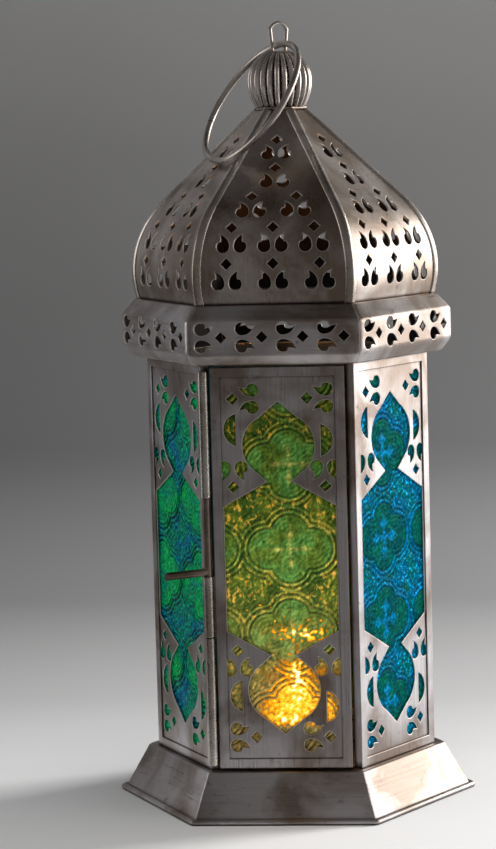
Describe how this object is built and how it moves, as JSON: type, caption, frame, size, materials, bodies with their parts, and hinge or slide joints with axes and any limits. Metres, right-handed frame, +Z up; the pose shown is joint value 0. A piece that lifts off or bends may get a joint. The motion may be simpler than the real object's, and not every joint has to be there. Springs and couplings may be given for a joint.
{
  "type": "hexagonal candle lantern",
  "caption": "Hexagonal metal candle lantern with fretwork over stained glass panels, a hinged door, a pierced ogee dome, a fluted ball finial and a carrying ring.",
  "frame": {"origin": "middle of the foot, on the surface that the lantern stands on", "axes": "+Z up the lantern's axis, -Y out through the door, +X to the right of the door seen from the front"},
  "size_m": [0.125, 0.1082, 0.2669],
  "materials": {
    "antiqued_tin": "brushed, antiqued",
    "fluted_brassed_tin": "spun, antiqued",
    "steel_wire": "drawn, satin",
    "solder": "cast, dull",
    "amber_glass": "pressed, stained",
    "green_glass": "pressed, stained",
    "blue_glass": "pressed, stained",
    "thin_aluminium": "bright",
    "candle_wax": "wax",
    "cotton_wick": "charred"
  },
  "bodies": {
    "lantern": {"base_skirt": "antiqued_tin", "base_floor": "antiqued_tin", "candle_cup": "antiqued_tin", "cornice_band": "antiqued_tin", "crown_plate": "antiqued_tin", "frame_front_right": "antiqued_tin", "fret_front_right": "antiqued_tin", "frame_back_right": "antiqued_tin", "fret_back_right": "antiqued_tin", "frame_back": "antiqued_tin", "fret_back": "antiqued_tin", "frame_back_left": "antiqued_tin", "fret_back_left": "antiqued_tin", "frame_front_left": "antiqued_tin", "fret_front_left": "antiqued_tin", "gore_front": "antiqued_tin", "gore_front_right": "antiqued_tin", "gore_back_right": "antiqued_tin", "gore_back": "antiqued_tin", "gore_back_left": "antiqued_tin", "gore_front_left": "antiqued_tin", "rib_front_right": "antiqued_tin", "rib_right": "antiqued_tin", "rib_back_right": "antiqued_tin", "rib_back_left": "antiqued_tin", "rib_left": "antiqued_tin", "rib_front_left": "antiqued_tin", "pane_back": "amber_glass", "pane_front_right": "blue_glass", "pane_back_left": "blue_glass", "pane_front_left": "green_glass", "pane_back_right": "green_glass", "lower_barrel": "steel_wire", "upper_barrel": "steel_wire", "hanger_eye": "steel_wire", "finial_ball": "fluted_brassed_tin", "solder_right": "solder", "solder_back_right": "solder", "solder_back_left": "solder", "solder_left": "solder"},
    "door": {"door_frame": "antiqued_tin", "door_fret": "antiqued_tin", "door_pane": "amber_glass", "door_barrel": "steel_wire"},
    "hinge_pin": {"hinge_pin": "steel_wire"},
    "carry_ring": {"carry_ring": "steel_wire"},
    "tealight": {"tealight_cup": "thin_aluminium", "tealight_wax": "candle_wax", "tealight_wick": "cotton_wick"}
  },
  "joints": [
    {"name": "door_swing", "type": "hinge", "parent": "lantern", "child": "door", "pos_m": [-0.02465, -0.04269, 0.0846], "axis": [0, 0, -1], "range_deg": [0, 100]},
    {"name": "hinge_pin_lift", "type": "slide", "parent": "lantern", "child": "hinge_pin", "axis": [0, 0, 1], "range_m": [0, 0.022]},
    {"name": "carry_ring_flop", "type": "hinge", "parent": "lantern", "child": "carry_ring", "pos_m": [0, 0, 0.25884], "axis": [-0.5461, 0.8377, 0], "range_deg": [0, 291]},
    {"name": "tealight_lift", "type": "slide", "parent": "lantern", "child": "tealight", "axis": [0, 0, 1], "range_m": [0, 0.012]}
  ]
}
